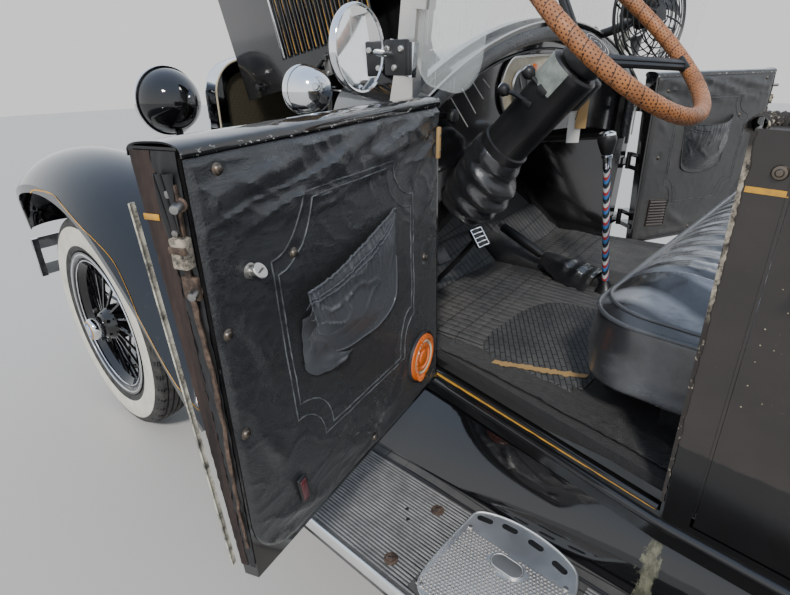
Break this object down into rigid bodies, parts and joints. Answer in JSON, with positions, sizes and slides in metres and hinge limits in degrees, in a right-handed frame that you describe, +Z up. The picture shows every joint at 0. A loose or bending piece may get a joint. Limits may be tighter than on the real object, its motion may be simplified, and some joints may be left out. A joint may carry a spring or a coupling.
{
  "type": "1920s touring car",
  "caption": "Open four-door tourer with wire wheels, clamshell fenders, running boards, raised hood half, open front doors and folded top.",
  "frame": {"origin": "on the ground below the middle of the car", "axes": "+X forward, +Y to the left of the car, +Z up"},
  "size_m": [4.1544, 2.103, 1.6476],
  "materials": {
    "body_black": "gloss",
    "chassis_black": "satin",
    "chrome": "polished",
    "worn_nickel": "worn",
    "engine_iron": "matt",
    "tyre": "matt",
    "rubber_mat": "matt",
    "leather": "satin",
    "top_cloth": "matt",
    "glass": "clear",
    "wheel_black": "gloss",
    "rim_leather": "wrapped",
    "board_aluminium": "satin",
    "radiator_core": "dull",
    "panel_cream": "satin"
  },
  "bodies": {
    "car": {"body_tub": "body_black", "floor": "rubber_mat", "toe_board": "rubber_mat", "cowl": "body_black", "radiator_shell": "chrome", "radiator_core": "radiator_core", "hood_hinge": "body_black", "front_fenders": "body_black", "rear_fenders": "body_black", "front_aprons": "body_black", "running_boards": "rubber_mat", "splash_aprons": "body_black", "step_plates": "board_aluminium", "windshield_frame": "worn_nickel", "glass": "glass", "side_mirror": "chrome", "headlamps": "body_black", "headlamp_lenses": "glass", "cowl_lamps": "chrome", "front_bumper": "chrome", "rear_bumper": "chrome", "chassis_frame": "chassis_black", "springs": "chassis_black", "front_axle": "chassis_black", "rear_axle": "chassis_black", "spare_wheel": "top_cloth", "engine": "engine_iron", "exhaust": "chassis_black", "front_seat_cushion": "leather", "front_seat_back": "leather", "rear_seat_cushion": "leather", "rear_seat_back": "leather", "top_boot": "top_cloth", "steering_column": "chassis_black", "floor_controls": "chassis_black", "cabin_fan": "chassis_black", "instrument_panel": "panel_cream"},
    "front_door_left": {"front_door_left": "body_black"},
    "front_door_right": {"front_door_right": "body_black"},
    "rear_door_left": {"rear_door_left": "body_black"},
    "rear_door_right": {"rear_door_right": "body_black"},
    "hood_left_top": {"hood_left_top": "body_black"},
    "hood_left_side": {"hood_left_side": "body_black"},
    "hood_right_top": {"hood_right_top": "body_black"},
    "hood_right_side": {"hood_right_side": "body_black"},
    "knuckle_left": {"knuckle_left": "chassis_black"},
    "knuckle_right": {"knuckle_right": "chassis_black"},
    "tie_rod": {"tie_rod": "chassis_black"},
    "steering_wheel": {"steering_wheel": "rim_leather"},
    "wheel_front_left": {"wheel_front_left": "wheel_black", "tyre_front_left": "tyre"},
    "wheel_front_right": {"wheel_front_right": "wheel_black", "tyre_front_right": "tyre"},
    "wheel_rear_left": {"wheel_rear_left": "wheel_black", "tyre_rear_left": "tyre"},
    "wheel_rear_right": {"wheel_rear_right": "wheel_black", "tyre_rear_right": "tyre"}
  },
  "joints": [
    {"name": "front_left_door", "type": "hinge", "parent": "car", "child": "front_door_left", "pos_m": [0.226, 0.563, 0.85], "axis": [0, 0, 1], "range_deg": [-2, 68]},
    {"name": "front_right_door", "type": "hinge", "parent": "car", "child": "front_door_right", "pos_m": [0.226, -0.563, 0.85], "axis": [0, 0, -1], "range_deg": [-15, 55]},
    {"name": "rear_left_door", "type": "hinge", "parent": "car", "child": "rear_door_left", "pos_m": [-0.839, 0.679, 0.85], "axis": [0, 0, 1], "range_deg": [0, 65]},
    {"name": "rear_right_door", "type": "hinge", "parent": "car", "child": "rear_door_right", "pos_m": [-0.839, -0.679, 0.85], "axis": [0, 0, -1], "range_deg": [0, 65]},
    {"name": "left_hood", "type": "hinge", "parent": "car", "child": "hood_left_top", "pos_m": [0.6, 0, 1.1785], "axis": [1, 0, 0.0054], "range_deg": [-70, 10]},
    {"name": "left_hood_side", "type": "hinge", "parent": "hood_left_top", "child": "hood_left_side", "pos_m": [0.60348, 0.27802, 1.49167], "axis": [0.9825, -0.0957, -0.1595], "range_deg": [-10.86, 76]},
    {"name": "right_hood", "type": "hinge", "parent": "car", "child": "hood_right_top", "pos_m": [0.6, 0, 1.1785], "axis": [-1, 0, -0.0054], "range_deg": [0, 80]},
    {"name": "right_hood_side", "type": "hinge", "parent": "hood_right_top", "child": "hood_right_side", "pos_m": [0.606, -0.38935, 1.02438], "axis": [-0.9815, -0.1876, -0.0389], "range_deg": [-86.86, 0]},
    {"name": "left_steer", "type": "hinge", "parent": "car", "child": "knuckle_left", "pos_m": [1.38, 0.6, 0.368], "axis": [0, 0, 1], "range_deg": [-28, 28]},
    {"name": "right_steer", "type": "hinge", "parent": "car", "child": "knuckle_right", "pos_m": [1.38, -0.6, 0.368], "axis": [0, 0, 1], "range_deg": [-28, 28]},
    {"name": "tie_rod_eye", "type": "hinge", "parent": "knuckle_left", "child": "tie_rod", "pos_m": [1.23, 0.6, 0.285], "axis": [0, 0, 1], "range_deg": [-28, 28]},
    {"name": "steering_wheel_turn", "type": "hinge", "parent": "car", "child": "steering_wheel", "pos_m": [-0.017, 0.32, 1.22], "axis": [-0.6691, 0, 0.7431], "range_deg": [-364, 364]},
    {"name": "front_left_roll", "type": "hinge", "parent": "knuckle_left", "child": "wheel_front_left", "pos_m": [1.38, 0.712, 0.368], "axis": [0, 1, 0], "continuous": true},
    {"name": "front_right_roll", "type": "hinge", "parent": "knuckle_right", "child": "wheel_front_right", "pos_m": [1.38, -0.712, 0.368], "axis": [0, 1, 0], "continuous": true},
    {"name": "rear_left_roll", "type": "hinge", "parent": "car", "child": "wheel_rear_left", "pos_m": [-1.249, 0.712, 0.368], "axis": [0, 1, 0], "continuous": true},
    {"name": "rear_right_roll", "type": "hinge", "parent": "car", "child": "wheel_rear_right", "pos_m": [-1.249, -0.712, 0.368], "axis": [0, 1, 0], "continuous": true}
  ],
  "couplings": [
    {"joint": "right_steer", "follows": "left_steer", "ratio": 1},
    {"joint": "tie_rod_eye", "follows": "left_steer", "ratio": -1},
    {"joint": "steering_wheel_turn", "follows": "left_steer", "ratio": 13},
    {"joint": "left_hood_side", "follows": "left_hood", "ratio": -1.0857},
    {"joint": "right_hood_side", "follows": "right_hood", "ratio": -1.0857}
  ]
}
